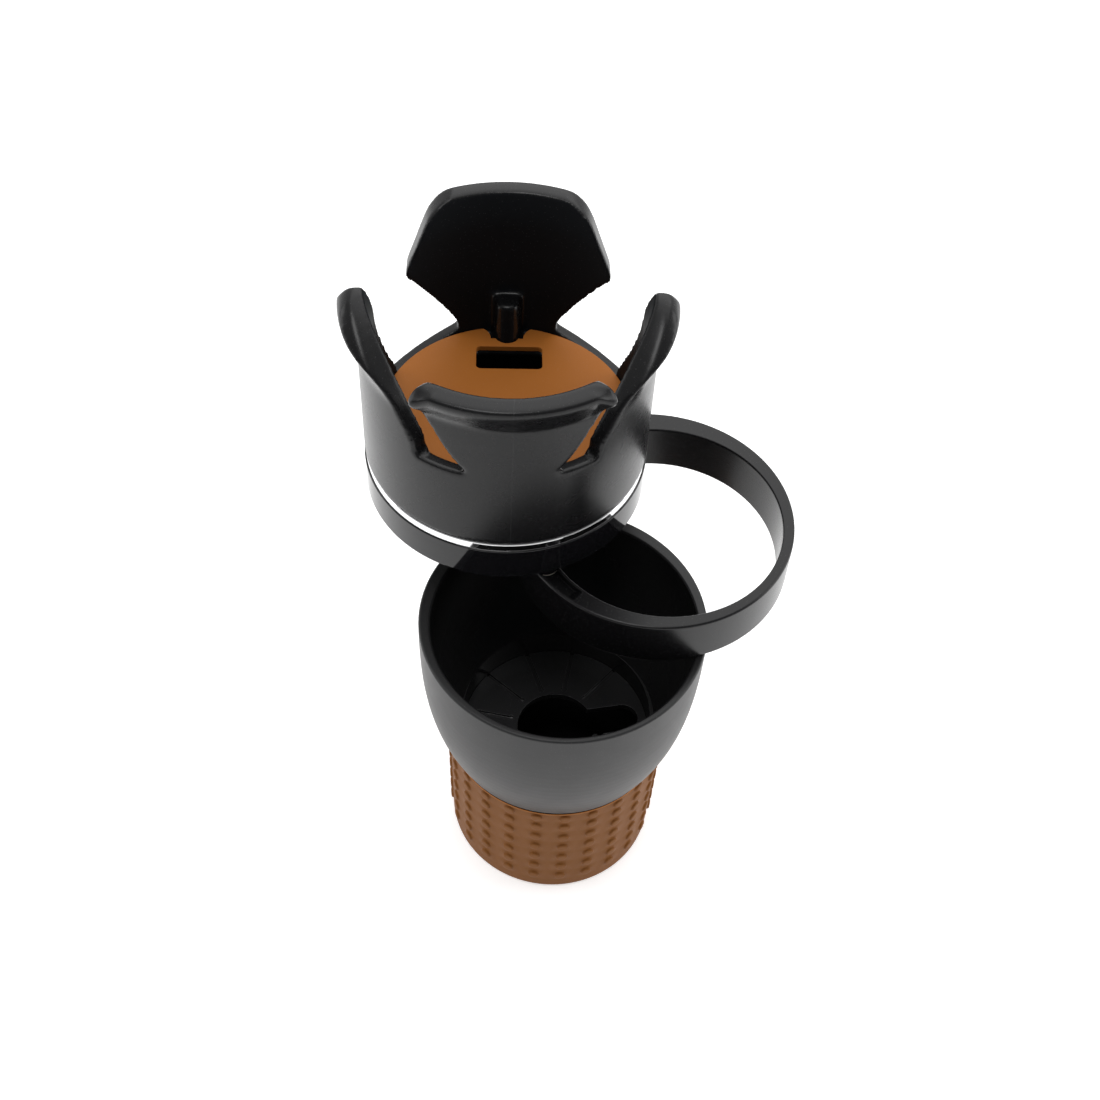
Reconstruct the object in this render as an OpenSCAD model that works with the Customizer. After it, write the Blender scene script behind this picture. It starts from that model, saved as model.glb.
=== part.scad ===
/* [Base cup] */
// Outer radius of the rim
rim_r = 48; // [44:0.5:56]
// Height of the rim above the resting plane
base_h = 118; // [105:1:140]
// Wall at the rim, with the opening in the middle
rim_wall = 3.6; // [3:0.1:5]
// How far the opening lies off centre, away from the ring's pivot
bore_shift = 1.5; // [0:0.1:2]
// Wall of the plain cylinder below the floor plate
foot_wall = 2.6; // [2:0.1:4]
// Thickness of the cup's own floor
foot_floor = 2.5; // [1.5:0.1:5]
// Rounding of the rim's edges
rim_round = 0.8; // [0.2:0.1:1]

/* [Rubber sleeve] */
// Height of the sleeve
sleeve_h = 57; // [45:1:70]
// Outer radius at the bottom
sleeve_bottom_r = 37.5; // [36.5:0.1:39]
// How much wider the sleeve is at its top
sleeve_flare = 0.8; // [0:0.1:2]
// Thickness of the sleeve's wall at the bottom
sleeve_wall = 2.1; // [1.6:0.1:3]
// Thickness under the cup
sleeve_floor = 2.5; // [1:0.1:4]
// Rounding of the bottom edge
sleeve_round = 1.4; // [0.5:0.1:1.6]
// Height of the plain bead at the top edge
bead_h = 1.6; // [1:0.1:3]
// How far the bead stands out
bead_out = 0.5; // [0.2:0.1:0.8]
// Bumps in one row
bump_cols = 24; // [12:1:28]
// Least distance from the top edge to the middle of a bump
bump_top_gap = 3.5; // [3.1:0.1:8]
// Height of the lowest row
bump_first_z = 9; // [6:0.5:10]
// Distance from row to row
bump_pitch = 7.4; // [6:0.1:7.5]
// Radius of a bump
bump_r = 2.6; // [1.5:0.1:3]
// How far a bump stands out
bump_out = 0.8; // [0.5:0.1:1.2]

/* [Floor plate] */
// Height of the plate's upper face
plate_top_z = 52; // [46:0.5:55]
// Thickness of the plate
plate_t = 2.6; // [2:0.1:4]
// Width of the seat that the foot gives the plate, and the wall left outside it
plate_inset = 2; // [2:0.1:2.4]
// Radius of the round hole
plate_hole_r = 13.9; // [10:0.1:16]
// Half width of the side lobe
lobe_r = 5.5; // [3:0.1:7]
// Distance from the lobe's end to the plate's edge
lobe_edge = 2.9; // [2:0.1:8]
// Direction of the lobe
lobe_angle = 12.6; // [0:0.2:20]
// Grooves in the plate
groove_count = 11; // [5:1:11]
// Direction of the first groove
groove_first = 51.5; // [45:0.5:55]
// Angle from groove to groove
groove_step = 30; // [20:0.5:30]
// Width of a groove
groove_w = 1.6; // [1:0.1:2.4]
// Depth of a groove
groove_d = 1.2; // [0.6:0.1:1.6]
// Distance from the round hole to a groove's inner end
groove_gap = 2.6; // [2:0.1:4]

/* [Swing ring] */
// How far the ring lies back from the rim
ring_inset = 1; // [0:0.1:2]
// Height of the ring
ring_h = 18; // [12:0.5:24]
// Wall of the ring, with its opening in the middle
ring_wall = 6.5; // [6.1:0.1:8]
// How far the opening lies off centre
ring_bore_shift = 2.9; // [0:0.1:3.2]
// Direction in which the ring's wall is thinnest, with the ring closed
ring_thin_angle = -92; // [-100:1:-40]
// Depth of the recess over the pivots
recess_d = 2.6; // [2.4:0.1:3.4]
// Half of the angle that the recess spans
recess_half_angle = 41; // [34:1:60]
// Lip left outside the recess
recess_lip_out = 1.1; // [0.8:0.1:1.6]
// Lip left inside the recess
recess_lip_in = 1.1; // [1.1:0.1:1.4]
// Length of the ramp at the recess's ends, as an angle
recess_ramp_angle = 4; // [1:0.5:6]
// Rounding of the ring's edges
ring_round = 0.8; // [0.2:0.1:1]

/* [Pivots] */
// Distance of both pivots from the ring's outside
pivot_inset = 5; // [5:0.1:7]
// Direction of the base's pivot, with everything closed
ring_pivot_angle = 107.6; // [100:0.2:115]
// Direction of the upper holder's pivot, with everything closed
upper_pivot_angle = 151.6; // [145:0.2:160]
// How far the ring is swung out
ring_open = 61.1; // [0:0.1:180]
// How far the upper holder is swung out on the ring
upper_open = 79.3; // [0:0.1:180]
// Radius of the pivot pins
pin_r = 2; // [1.6:0.1:2.4]
// Running clearance round a pin
pin_clear = 0.05; // [0.02:0.01:0.1]
// Radius of the moulded bosses round the pins
boss_r = 5.2; // [5:0.1:5.8]
// Depth to which a pin is pressed into its boss
pin_grip = 12; // [8:0.5:12]
// Gap between the parts that swing over each other
swing_gap = 0.5; // [0.4:0.05:1]
// Radius of the washers on the pins
washer_r = 4; // [3.6:0.1:4.1]
// Thickness of the washers under the screws
washer_t = 0.6; // [0.4:0.1:0.8]
// Radius of the pivot screws' heads
screw_head_r = 3.1; // [2.6:0.1:3.4]
// Height of the pivot screws' heads
screw_head_h = 1.3; // [1:0.1:1.4]
// Radius of the pivot screws' threads
screw_r = 1.1; // [0.9:0.1:1.2]
// Length of the pivot screws' threads
screw_len = 7; // [5:0.5:9]
// Depth of the counterbore under the ring
counterbore_d = 3; // [2.8:0.1:5]

/* [Upper holder] */
// How far the band stands out from the ring
band_out = 0.1; // [0:0.1:1]
// Height of the band
band_h = 13; // [13:0.5:20]
// Thickness of the band's wall
band_wall = 3.1; // [2:0.1:3.5]
// Height of the bright ring
trim_h = 3; // [1.5:0.1:4]
// How far the bright ring lies back from the cup
trim_inset = 0.2; // [0.1:0.1:1]
// How far the upper cup lies back from the band
cup_inset = 0.2; // [0:0.1:1]
// Thickness of the upper cup's wall
cup_wall = 5.3; // [4:0.1:6]
// Thickness of the wall below the cup's floor
skirt_wall = 2.4; // [1.6:0.1:3]
// Height of the cup's floor above the cup's lower edge
cup_floor_rise = 6.3; // [5:0.1:12]
// Thickness of the cup's floor
cup_floor_t = 2.5; // [2:0.1:4]
// Height of the back and side petals above the cup's lower edge
petal_h = 66.3; // [58:0.1:80]
// How much lower the front petal is
front_drop = 3; // [0:0.1:6]
// How far the petals' lip stands out from the wall
lip_out = 3.9; // [2:0.1:6]
// Height over which the wall curves out into the lip
lip_h = 20; // [12:0.5:24]
// How far the lip's inner edge leans out
lip_in = 2.2; // [1:0.1:3]
// Direction of the back leaf, with everything closed
leaf_angle = -46.9; // [-60:0.1:-30]

/* [Petals] */
// Height of the back gaps' floor at the outside, above the cup's lower edge
back_gap_z = 6; // [5:0.1:10]
// Slope of the back gaps' floor
back_gap_tilt = 37; // [30:1:40]
// Direction in which the back gaps' floor falls, from the leaf
back_gap_turn = 53; // [50:1:58]
// Height of the front gaps' floor above the cup's lower edge
front_gap_z = 28.8; // [24:0.1:34]
// Half width of the leaf at its neck
leaf_neck_x = 16.6; // [14:0.1:20]
// Half width of the leaf at its widest
leaf_wide_x = 32.9; // [30:0.1:34]
// Half width of the leaf's flat top
leaf_top_x = 15; // [10:0.1:18]
// Distance from the leaf's top down to its widest place
leaf_wide_drop = 19.9; // [17:0.1:24]
// Rounding of the leaf's side corners
leaf_round = 5; // [3:0.5:7]
// Rounding between the leaf's neck and the gap's floor
neck_round = 4; // [2:0.5:5]
// Half width of the front petal at its root
front_root_x = 10; // [8:0.1:16]
// Half width of the front petal at its lip
front_lip_x = 28.6; // [22:0.1:30]
// Direction of a side petal's middle, from the leaf
side_angle = 101; // [99:0.5:103]
// Distance from a side petal's middle to its back edge, at the root
side_back_x = 28.1; // [26:0.1:31]
// Slope of a side petal's back edge, as an angle from the upright
side_back_lean = 22.2; // [20:0.2:24]
// Angle from a side petal's middle to the foot of its front edge
side_front_angle = 42; // [38:0.5:44]
// Rounding at the foot of the side petals' front edge
gap_round = 2.5; // [1.5:0.1:3.5]

/* [Pad and pillar] */
// Gap between the pad and the wall
pad_clear = 0.4; // [0.2:0.1:2]
// Thickness of the pad
pad_t = 2; // [1:0.1:3]
// Length of the slot across the holder
slot_w = 22.4; // [15:0.1:26]
// Width of the slot
slot_d = 10.6; // [8:0.1:14]
// Distance from the slot to the pillar
slot_gap = 2.1; // [1.6:0.1:6]
// How far the slot's middle lies to the side of the pillar's
slot_shift = 0.8; // [0:0.1:2]
// Rounding of the slot's corners
slot_round = 1.6; // [0.5:0.1:3]
// Radius of the pillar's round front
pillar_r = 3.9; // [3:0.1:5]
// Distance from the wall to the middle of the pillar's round front
pillar_out = 4; // [2:0.1:5]
// Height of the pillar above the pad
pillar_h = 15.5; // [8:0.5:24]
// Radius of the hollow blends from pillar to leaf
pillar_blend_r = 4.6; // [2:0.1:5]
// Gap between the pad and the pillar
pad_gap = 0.4; // [0.2:0.1:1]

/* [Base cover] */
// Thickness of the cover
cover_t = 2.2; // [1.6:0.1:3]
// Cover screws
cover_screw_count = 4; // [3:1:6]
// Distance of the cover screws from the cover's edge
cover_screw_inset = 11; // [9:0.5:14]
// Radius of the cover screws' threads
cover_screw_r = 1.3; // [1:0.1:1.5]
// Radius of the cover screws' heads
cover_head_r = 2.5; // [2.2:0.1:3]
// Height of the cover screws' heads
cover_head_h = 1.3; // [1:0.1:1.4]
// Length of the cover screws' threads
cover_screw_len = 10; // [6:0.5:12]
// Radius of the bosses that take the cover screws
cover_boss_r = 3.6; // [3:0.1:4]

/* [Hidden] */
$fn = 96;

// A little extra length where a cut passes through a face
over = 1;
// Clearance between pieces of one body that slide into each other
fit = 0.1;
// Steps along a curved profile
steps = 18;

// Heights, from the resting plane up
ring_z = base_h + swing_gap;
ring_top_z = ring_z + ring_h;
recess_z = ring_top_z - recess_d;
band_z = ring_top_z + swing_gap;
band_top_z = band_z + band_h;
cup_z = band_top_z + trim_h;
cup_floor_z = cup_z + cup_floor_rise;
pad_z = cup_floor_z + cup_floor_t;
pad_top_z = pad_z + pad_t;
petal_top_z = cup_z + petal_h;

// Radii, from the foot up
foot_r = sleeve_bottom_r - sleeve_wall;
sleeve_top_r = sleeve_bottom_r + sleeve_flare;
shoulder_r = sleeve_top_r + bead_out;
plate_r = foot_r - plate_inset;
lobe_reach = plate_r - lobe_edge - lobe_r;
bore_r = rim_r - rim_wall;
ring_r = rim_r - ring_inset;
ring_bore_r = ring_r - ring_wall;
pivot_r = ring_r - pivot_inset;
band_r = ring_r + band_out;
cup_r = band_r - cup_inset;

// Places of the pivots with everything closed
ring_pivot = pivot_r * [cos(ring_pivot_angle), sin(ring_pivot_angle)];
upper_pivot = pivot_r * [cos(upper_pivot_angle), sin(upper_pivot_angle)];
recess_angle = (ring_pivot_angle + upper_pivot_angle) / 2;

cup_bore_r = cup_r - cup_wall;
pad_r = cup_bore_r - pad_clear;
pillar_y = cup_bore_r - pillar_out;
slot_y = pillar_y - pillar_r - slot_gap - slot_d / 2;
leaf_wide_z = petal_h - leaf_wide_drop;
front_h = petal_h - front_drop;
// Radius of the band's inside, in which the cover and the cup's skirt sit
band_bore_r = band_r - band_wall;
cover_screw_y = band_bore_r - cover_screw_inset;
// Ledge inside the band, held between the cover and the cup's skirt
ledge_t = 1.8;
ledge_w = 2;
cover_top_z = band_z + cover_t;
ledge_top_z = cover_top_z + ledge_t;

// Bottom of the bowl's curved hollow, just above the sleeve
bowl_low_z = sleeve_h + 5;
bowl_low_r = plate_r + 1.1;
// Gap between the sleeve's top edge and the bowl
shoulder_gap = 0.4;
shoulder_round = 0.9;
plate_z = plate_top_z - plate_t;

// A pin stands this far out of the bore that turns on it, so that its washer never grips
pin_proud = 0.1;
// The pin and the screw threads fit their holes this closely
press = 0.01;
pocket_r = washer_r + 0.4;
// The fillets beside the gaps start this far below the gaps' floors
gap_dip = 0.6;
pin_socket = screw_len + 1;
// Rounding of the lip's outer edge, on the front petal and on the others
front_nose_round = 1.2;
nose_round = 2.2;
// Steps along the lip's curves
lip_steps = 10;
// Height over which the inside curves out to the lip
lip_in_h = 12;
// Height at which a side petal's back edge is measured, above the cup's lower edge
side_back_z = 9;
// How far the leaf's neck stands above the gap's floor
leaf_neck_rise = 4.2;
// Direction of the cut that makes a side petal's front edge, from the petal's middle
side_cut_angle = 33;
// The outlines of the petals reach this far above the lip, so that they cross its top at an angle
peak = 0.4;

// Points along an arc, from angle a0 to a1
function arc(x, y, r, a0, a1, n = 8) =
    [for (i = [0:n]) let (a = a0 + (a1 - a0) * i / n) [x + r * cos(a), y + r * sin(a)]];

// Points mirrored to the other side, in reverse order
function mirrored(points) = [for (i = [len(points) - 1:-1:0]) [-points[i].x, points[i].y]];

// A bowl curve that stands upright at its rim and leans in towards its foot
function bowl_curve(top_r, low_r, top_z, low_z, z) =
    top_r - (top_r - low_r) * pow((top_z - z) / (top_z - low_z), 3);

function sleeve_r(z) = sleeve_bottom_r + (sleeve_top_r - sleeve_bottom_r) * z / sleeve_h;

// A disc with rounded outer edges
module rounded_disc(r, h, edge) {
    rotate_extrude()
        polygon(concat([[0, 0]], arc(r - edge, edge, edge, -90, 0, 6),
            arc(r - edge, h - edge, edge, 0, 90, 6), [[0, h]]));
}

// A cutter for a round opening whose two edges are rounded
module rounded_opening(r, h, edge) {
    dip = edge / 8;
    rotate_extrude()
        polygon(concat([[0, -over], [r + edge, -over]], arc(r + edge, edge - dip, edge, 270, 180, 6),
            arc(r + edge, h - edge + dip, edge, 180, 90, 6), [[r + edge, h + over], [0, h + over]]));
}

module tube(r, bore, h) {
    difference() {
        cylinder(r = r, h = h);
        translate([0, 0, -over]) cylinder(r = bore, h = h + 2 * over);
    }
}

// Places children where the swung-out ring is
module on_ring() {
    translate(ring_pivot) rotate(ring_open) translate(-ring_pivot) children();
}

// Places children where the swung-out upper holder is
module on_upper() {
    on_ring() translate(upper_pivot) rotate(upper_open) translate(-upper_pivot) children();
}

// Turns children so that +Y points to the back leaf
module facing_leaf() {
    rotate(leaf_angle - 90) children();
}

// A pan-head screw along +Z, its head's underside at z = 0 and its thread below
module pan_screw(thread_r, length, head_r, head_h) {
    cross_w = head_r / 4;
    cross_l = head_r * 1.1;
    cross_d = head_h * 0.6;
    difference() {
        union() {
            rotate_extrude()
                polygon(concat([[0, 0], [head_r, 0]],
                    arc(head_r - head_h * 0.6, head_h * 0.4, head_h * 0.6, 0, 90, 6), [[0, head_h]]));
            translate([0, 0, -length]) cylinder(r = thread_r, h = length + head_h / 2);
        }
        for (a = [0, 90])
            rotate(a) translate([-cross_l / 2, -cross_w / 2, head_h - cross_d]) cube([cross_l, cross_w, head_h]);
    }
}

module rubber_sleeve() {
    root = 1;
    bore = foot_r + fit;
    lip_r = sleeve_top_r + bead_out;
    bead_turn = 60;
    bump_rows = floor((sleeve_h - bump_top_gap - bump_first_z) / bump_pitch) + 1;
    color("sienna") difference() {
        union() {
            rotate_extrude()
                polygon(concat([[0, 0]],
                    arc(sleeve_bottom_r - sleeve_round, sleeve_round, sleeve_round, -90, 0, 6),
                    [[sleeve_r(sleeve_h - bead_h), sleeve_h - bead_h]],
                    arc(lip_r - bead_out, sleeve_h - bead_h / 2, bead_out, -bead_turn, bead_turn, 6),
                    [[bore, sleeve_h], [0, sleeve_h]]));
            for (row = [0:bump_rows - 1], col = [0:bump_cols - 1])
                let (z = bump_first_z + row * bump_pitch)
                    rotate((col + 0.5) * 360 / bump_cols - 90)
                        translate([sleeve_r(z) - root, 0, z]) rotate([0, 90, 0])
                            cylinder(r = bump_r, h = bump_out + root, $fn = 32);
        }
        translate([0, 0, sleeve_floor]) cylinder(r = bore, h = sleeve_h);
    }
}

// The solid outside form of the lower cup
module base_form() {
    top = base_h - rim_round;
    start = sleeve_h + shoulder_gap + shoulder_round;
    start_r = bowl_curve(rim_r, shoulder_r, base_h, sleeve_h, start);
    rotate_extrude()
        polygon(concat([[0, sleeve_floor], [foot_r, sleeve_floor], [foot_r, sleeve_h + shoulder_gap]],
            arc(start_r - shoulder_round, start, shoulder_round, -90, 0, 4),
            [for (i = [1:steps]) let (z = start + (top - start) * i / steps)
                [bowl_curve(rim_r, shoulder_r, base_h, sleeve_h, z), z]],
            arc(rim_r - rim_round, top, rim_round, 0, 90, 5), [[0, base_h]]));
}

// The hollow of the lower cup: off-centre bowl, seat for the floor plate, well below it
module base_hollow() {
    seat_r = plate_r + fit;
    top = base_h - rim_round;
    rotate(ring_pivot_angle) translate([-bore_shift, 0, 0]) rotate_extrude()
        polygon(concat([[0, bowl_low_z]],
            [for (i = [0:steps]) let (z = bowl_low_z + (top - bowl_low_z) * i / steps)
                [bowl_curve(bore_r, bowl_low_r, base_h, bowl_low_z, z), z]],
            arc(bore_r + rim_round, top, rim_round, 180, 90, 5),
            [[bore_r + rim_round, base_h + over], [0, base_h + over]]));
    translate([0, 0, plate_z]) cylinder(r = seat_r, h = bowl_low_z - plate_z + over);
    translate([0, 0, sleeve_floor + foot_floor]) cylinder(r = foot_r - foot_wall, h = plate_z);
}

module base_cup() {
    boss_h = pin_grip + 3;
    taper_h = 9;
    taper_r = 1.4;
    color("dimgray") difference() {
        base_form();
        difference() {
            base_hollow();
            translate([ring_pivot.x, ring_pivot.y, base_h - boss_h]) {
                cylinder(r = boss_r, h = boss_h + 2 * over);
                translate([0, 0, -taper_h]) cylinder(r1 = taper_r, r2 = boss_r, h = taper_h);
            }
        }
        translate([ring_pivot.x, ring_pivot.y, base_h - pin_grip]) cylinder(r = pin_r + press, h = pin_grip + over);
    }
}

// Outline of the floor plate's opening: a round hole with a side lobe
module plate_opening() {
    circle(r = plate_hole_r);
    rotate(lobe_angle) {
        translate([0, -lobe_r]) square([lobe_reach, 2 * lobe_r]);
        translate([lobe_reach, 0]) circle(r = lobe_r);
    }
}

module floor_insert() {
    start = plate_hole_r + groove_gap;
    length = plate_r - start + over;
    color("black") translate([0, 0, plate_z]) difference() {
        cylinder(r = plate_r, h = plate_t);
        translate([0, 0, -over]) linear_extrude(plate_t + 2 * over) plate_opening();
        for (i = [0:groove_count - 1])
            rotate(groove_first + i * groove_step) translate([start, 0, plate_t - groove_d]) {
                cylinder(r = groove_w * 0.7, h = plate_t);
                translate([0, -groove_w / 2, 0]) cube([length, groove_w, plate_t]);
            }
    }
}

// Pivot pin that stands on z = 0, drilled at its top for a screw
module pivot_pin(length) {
    difference() {
        cylinder(r = pin_r, h = length);
        translate([0, 0, length - pin_socket]) cylinder(r = screw_r + press, h = pin_socket + over);
    }
}

module ring_pivot_pin() {
    low = base_h - pin_grip;
    color("silver") translate([ring_pivot.x, ring_pivot.y, low]) pivot_pin(recess_z + pin_proud - low);
}

module ring_thrust_washer() {
    color("ivory") translate([ring_pivot.x, ring_pivot.y, base_h])
        tube(boss_r - 0.4, pin_r + fit, swing_gap - fit);
}

module ring_pivot_washer() {
    color("silver") translate([ring_pivot.x, ring_pivot.y, recess_z + pin_proud])
        tube(washer_r, screw_r + fit, washer_t);
}

module ring_pivot_screw() {
    color("silver") translate([ring_pivot.x, ring_pivot.y, recess_z + pin_proud + washer_t])
        pan_screw(screw_r, screw_len, screw_head_r, screw_head_h);
}

// Moves children to the centre of the ring's opening
module at_ring_opening() {
    rotate(ring_thin_angle) translate([ring_bore_shift, 0, ring_z]) children();
}

// Shallow recess in the ring's top face that clears the pivots, with a ramp at each end
module ring_recess() {
    reach = ring_r * 1.3;
    ramp = ring_r * sin(recess_ramp_angle);
    spread = reach * tan(recess_half_angle);
    intersection() {
        difference() {
            translate([0, 0, recess_z]) cylinder(r = ring_r - recess_lip_out, h = recess_d + over);
            at_ring_opening() cylinder(r = ring_bore_r + recess_lip_in, h = ring_h + 2 * over);
        }
        rotate(recess_angle) {
            translate([0, 0, recess_z]) linear_extrude(recess_d + over)
                polygon([[0, 0], [reach, -spread], [reach, spread]]);
            for (side = [0, 1])
                mirror([0, side, 0]) rotate(recess_half_angle) rotate([90, 0, 90]) linear_extrude(reach)
                    polygon([[-over, recess_z], [0, recess_z], [ramp, ring_top_z],
                        [ramp, ring_top_z + over], [-over, ring_top_z + over]]);
        }
    }
    for (place = [ring_pivot, upper_pivot])
        translate([place.x, place.y, recess_z]) cylinder(r = pocket_r, h = recess_d + over);
}

module swing_ring() {
    color("black") on_ring() difference() {
        translate([0, 0, ring_z]) rounded_disc(ring_r, ring_h, ring_round);
        difference() {
            at_ring_opening() rounded_opening(ring_bore_r, ring_h, ring_round);
            for (place = [ring_pivot, upper_pivot])
                translate([place.x, place.y, ring_z - 2 * over]) cylinder(r = boss_r, h = ring_h + 4 * over);
        }
        ring_recess();
        for (place = [ring_pivot, upper_pivot])
            translate([place.x, place.y, ring_z - over]) cylinder(r = pin_r + pin_clear, h = ring_h + 2 * over);
        translate([upper_pivot.x, upper_pivot.y, ring_z - over]) cylinder(r = pocket_r, h = counterbore_d + over);
    }
}

// Heights of the upper pivot: the pin hangs down through the ring from the band's boss
pin_low_z = ring_z + counterbore_d - pin_proud;
band_boss_z = recess_z + swing_gap;
pin_high_z = band_z + pin_grip;

// Round space that the band's boss needs in the pieces inside the band
module band_boss_space() {
    translate([upper_pivot.x, upper_pivot.y, band_z - over])
        cylinder(r = boss_r + fit, h = band_h + over + fit);
}

module upper_pivot_pin() {
    color("silver") on_upper() translate([upper_pivot.x, upper_pivot.y, pin_high_z])
        mirror([0, 0, 1]) pivot_pin(pin_high_z - pin_low_z);
}

module upper_thrust_washer() {
    color("ivory") on_upper() translate([upper_pivot.x, upper_pivot.y, recess_z + fit])
        tube(washer_r, pin_r + fit, swing_gap - fit);
}

module upper_pivot_washer() {
    color("silver") on_upper() translate([upper_pivot.x, upper_pivot.y, pin_low_z - washer_t])
        tube(washer_r, screw_r + fit, washer_t);
}

module upper_pivot_screw() {
    color("silver") on_upper() translate([upper_pivot.x, upper_pivot.y, pin_low_z - washer_t])
        mirror([0, 0, 1]) pan_screw(screw_r, screw_len, screw_head_r, screw_head_h);
}

// Places children at each cover screw
module at_cover_screws() {
    facing_leaf() for (i = [0:cover_screw_count - 1])
        rotate((i + 0.5) * 360 / cover_screw_count) translate([0, cover_screw_y, 0]) children();
}

module base_cover() {
    seat = cover_head_h + fit;
    color("black") on_upper() difference() {
        translate([0, 0, band_z]) cylinder(r = band_bore_r - fit, h = cover_t);
        band_boss_space();
        at_cover_screws() {
            translate([0, 0, band_z - over]) cylinder(r = cover_head_r + fit, h = seat + over);
            translate([0, 0, band_z]) cylinder(r = cover_screw_r + fit, h = cover_t + over);
        }
    }
}

module cover_screws() {
    color("silver") on_upper() at_cover_screws()
        translate([0, 0, band_z + cover_head_h + fit]) mirror([0, 0, 1])
            pan_screw(cover_screw_r, cover_screw_len, cover_head_r, cover_head_h);
}

module base_band() {
    edge = 0.9;
    color("black") on_upper() difference() {
        union() {
            rotate_extrude()
                polygon(concat(arc(band_r - edge, band_z + edge, edge, -90, 0, 6),
                    arc(band_r - edge / 2, band_top_z - edge / 2, edge / 2, 0, 90, 4),
                    [[band_bore_r, band_top_z], [band_bore_r, ledge_top_z], [band_bore_r - ledge_w, ledge_top_z],
                        [band_bore_r - ledge_w, cover_top_z], [band_bore_r, cover_top_z], [band_bore_r, band_z]]));
            intersection() {
                translate([upper_pivot.x, upper_pivot.y, band_z]) cylinder(r = boss_r, h = band_h);
                translate([0, 0, band_z]) cylinder(r = band_r - edge, h = band_h);
            }
            translate([upper_pivot.x, upper_pivot.y, band_boss_z])
                cylinder(r = washer_r, h = band_z - band_boss_z + over);
        }
        translate([upper_pivot.x, upper_pivot.y, band_boss_z - over])
            cylinder(r = pin_r + press, h = pin_high_z - band_boss_z + over);
    }
}

module trim_ring() {
    out_r = cup_r - trim_inset;
    edge = 0.5;
    color("white") on_upper() rotate_extrude()
        polygon(concat([[band_bore_r, band_top_z], [out_r, band_top_z]],
            arc(out_r - edge, cup_z - edge, edge, 0, 90, 4), [[band_bore_r, cup_z]]));
}

// The cup's wall as one turned form of height h: upright below, curving out to the lip and its nose
module crown(h, nose) {
    edge = 0.8;
    foot_edge = 0.5;
    low = h - lip_h;
    lean = 1.6;
    lip_r = cup_r + lip_out;
    in_r = cup_bore_r + lip_in;
    swell_h = lip_h - nose;
    rotate_extrude()
        polygon(concat([[cup_bore_r, 0], [cup_r - foot_edge, 0], [cup_r, foot_edge], [cup_r, low]],
            [for (i = [1:lip_steps]) let (t = i / lip_steps)
                [cup_r + lip_out * t * t * (3 - 2 * t), low + swell_h * t]],
            arc(lip_r - nose, h - nose, nose, 0, 90, 5),
            arc(in_r + edge, h - edge, edge, 90, 160, 4),
            [for (i = [lip_steps - 1:-1:0]) let (t = i / lip_steps)
                [cup_bore_r + lip_in * pow(t, lean), h - lip_in_h + (lip_in_h - edge) * t]]));
}

// Angle of the flank that touches the neck's fillet and the leaf's side corner
function flank_turn(dx, dz) = atan2(dz, dx) - acos(-(leaf_round + neck_round) / norm([dx, dz]));

// Tall back leaf, seen along the holder's radius
module leaf_outline() {
    high_turn = 26.4;
    top = petal_h + peak;
    side_x = leaf_wide_x - leaf_round;
    neck_x = leaf_neck_x + neck_round;
    neck_z = back_gap_z + leaf_neck_rise + neck_round;
    low_turn = flank_turn(side_x - neck_x, leaf_wide_z - neck_z);
    // The upper flank is straight and touches both the side corner and the top corner
    rise = top - leaf_wide_z - leaf_round * sin(high_turn);
    run = leaf_wide_x - leaf_round * (1 - cos(high_turn)) - leaf_top_x;
    top_round = (run - rise * tan(high_turn)) / (cos(high_turn) - tan(high_turn) * (1 - sin(high_turn)));
    side = concat([[leaf_neck_x + neck_round / 2, 0]],
        arc(neck_x, neck_z, neck_round, 240, 180 + low_turn),
        arc(side_x, leaf_wide_z, leaf_round, low_turn, high_turn),
        arc(leaf_top_x, top - top_round, top_round, high_turn, 90));
    polygon(concat(side, [[leaf_top_x, petal_h + over], [-leaf_top_x, petal_h + over]], mirrored(side)));
}

// Front petal, widening from its root to the lip, with rounded corners
module front_outline() {
    bow = 1.5;
    corner = 1.6;
    low = front_gap_z - gap_dip;
    rise = front_h - corner - low;
    side = concat([[front_root_x, 0]],
        [for (i = [0:lip_steps]) let (t = i / lip_steps)
            [front_root_x + (front_lip_x - front_root_x) * (1 - pow(1 - t, bow)), low + rise * t]],
        arc(front_lip_x - corner, front_h - corner + peak / 2, corner, 0, 75, 4),
        [[front_lip_x - corner, front_h + over]]);
    polygon(concat(side, mirrored(side)));
}

// What lies in front of a side petal's back edge, seen along the petal's middle
module side_back_outline() {
    tip_round = 3;
    lean = tan(side_back_lean);
    top = petal_h + peak;
    tip_z = top - tip_round * (1 - sin(side_back_lean));
    // The back edge is one straight line down through the gap's floor, and touches the tip's rounding
    foot_x = -side_back_x - lean * side_back_z;
    tip_x = -side_back_x + lean * (tip_z - side_back_z);
    centre_x = tip_x + tip_round * cos(side_back_lean);
    polygon(concat([[foot_x, 0]], arc(centre_x, top - tip_round, tip_round, 180 - side_back_lean, 90, 6),
        [[centre_x, petal_h + over], [cup_r, petal_h + over], [cup_r, 0]]));
}

// What lies behind a side petal's front edge, seen along that edge
module side_front_outline() {
    peak_angle = -3;
    bulge = 1.55;
    sweep_z = front_gap_z + gap_round - gap_dip;
    sweep_h = petal_h + peak - sweep_z;
    foot_x = cup_r * sin(side_front_angle - side_cut_angle);
    polygon(concat([[-cup_r * 1.2, 0], [-cup_r * 1.2, petal_h + peak]],
        [for (i = [0:steps]) let (a = 90 - 90 * i / steps,
                turn = peak_angle + (side_front_angle - peak_angle) * pow(cos(a), 2 / bulge))
            [cup_r * sin(turn - side_cut_angle), sweep_z + sweep_h * pow(sin(a), 2 / bulge)]],
        arc(foot_x + gap_round, sweep_z, gap_round, 180, 240),
        [[foot_x + gap_round / 2, 0]]));
}

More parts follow.
